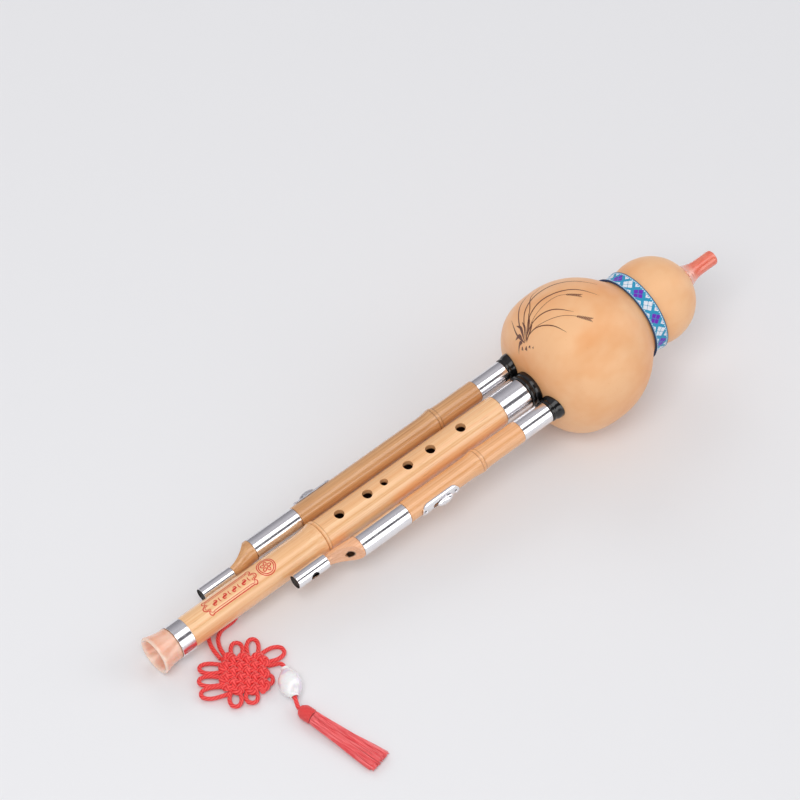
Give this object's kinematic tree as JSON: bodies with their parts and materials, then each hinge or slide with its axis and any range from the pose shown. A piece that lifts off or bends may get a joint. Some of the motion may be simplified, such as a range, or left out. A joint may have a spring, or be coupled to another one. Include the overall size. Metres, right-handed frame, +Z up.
{
  "type": "hulusi",
  "caption": "Gourd wind chest with a fingered bamboo pipe between two bamboo drones, a blown stem, thumb slides, and a red knot with tassel.",
  "frame": {"origin": "centre of the underside of the bounding box of the instrument without its hanging cord group, on the surface it lies on", "axes": "+X towards the mouthpiece, +Z up with the finger holes facing up, right-hand drone and tassel at -Y"},
  "size_m": [0.4328, 0.1795, 0.0921],
  "materials": {
    "gourd_shell": "lacquered gourd skin, satin",
    "main_bamboo": "lacquered bamboo, fine straight grain",
    "drone_bamboo": "lacquered bamboo, browner",
    "chrome": "polished",
    "black_plastic": "glossy black",
    "peach_resin": "polished, slightly translucent",
    "pink_resin": "polished",
    "woven_band": "woven ribbon with a diamond pattern",
    "brass": "bare",
    "wound_thread": "waxed cotton, wound",
    "red_cord": "satin cord",
    "white_porcelain": "glossy glaze",
    "silk_fringe": "silk threads"
  },
  "bodies": {
    "gourd": {"gourd_lower": "gourd_shell", "gourd_upper": "gourd_shell", "mouthpiece": "pink_resin", "waist_band": "woven_band", "main_socket": "black_plastic", "left_socket": "black_plastic", "right_socket": "black_plastic"},
    "main_pipe": {"main_pipe": "main_bamboo", "main_top_ferrule": "chrome", "bell_ferrule": "chrome", "bell": "peach_resin", "main_tenon_seal": "wound_thread", "main_reed_holder": "brass", "main_reed_plate": "brass", "hanging_cord_near": "red_cord", "hanging_cord_far": "red_cord", "knot": "red_cord", "tassel_cord": "red_cord", "pendant": "white_porcelain", "tassel_cap": "red_cord", "tassel_fringe": "silk_fringe"},
    "left_pipe": {"left_pipe": "drone_bamboo", "left_top_ferrule": "chrome", "left_lower_ferrule": "chrome", "left_tail": "drone_bamboo", "left_tenon_seal": "wound_thread", "left_reed_holder": "brass", "left_reed_plate": "brass", "left_switch_plate": "chrome", "left_switch_nail_front": "chrome", "left_switch_nail_rear": "chrome"},
    "right_pipe": {"right_pipe": "drone_bamboo", "right_top_ferrule": "chrome", "right_lower_ferrule": "chrome", "right_tail": "drone_bamboo", "right_tenon_seal": "wound_thread", "right_reed_holder": "brass", "right_reed_plate": "brass", "right_switch_plate": "chrome", "right_switch_nail_front": "chrome", "right_switch_nail_rear": "chrome"},
    "left_tube": {"left_slide_tube": "chrome", "left_tube_bush": "black_plastic", "left_tube_plug": "black_plastic"},
    "right_tube": {"right_slide_tube": "chrome", "right_tube_bush": "black_plastic", "right_tube_plug": "black_plastic"},
    "left_switch": {"left_switch_button": "chrome"},
    "right_switch": {"right_switch_button": "chrome"}
  },
  "joints": [
    {"name": "main_pipe_pull", "type": "slide", "parent": "gourd", "child": "main_pipe", "axis": [-0.9945, 0, -0.105], "range_m": [0, 0.048]},
    {"name": "left_pipe_pull", "type": "slide", "parent": "gourd", "child": "left_pipe", "axis": [-0.9945, 0, -0.105], "range_m": [0, 0.036]},
    {"name": "right_pipe_pull", "type": "slide", "parent": "gourd", "child": "right_pipe", "axis": [-0.9945, 0, -0.105], "range_m": [0, 0.036]},
    {"name": "left_tube_slide", "type": "slide", "parent": "left_pipe", "child": "left_tube", "axis": [-0.9945, 0, -0.105], "range_m": [0, 0.014]},
    {"name": "right_tube_slide", "type": "slide", "parent": "right_pipe", "child": "right_tube", "axis": [-0.9945, 0, -0.105], "range_m": [0, 0.014]},
    {"name": "left_switch_slide", "type": "slide", "parent": "left_pipe", "child": "left_switch", "axis": [0.9945, 0, 0.105], "range_m": [-0.0003, 0.0057]},
    {"name": "right_switch_slide", "type": "slide", "parent": "right_pipe", "child": "right_switch", "axis": [0.9945, 0, 0.105], "range_m": [-0.0057, 0.0003]}
  ]
}
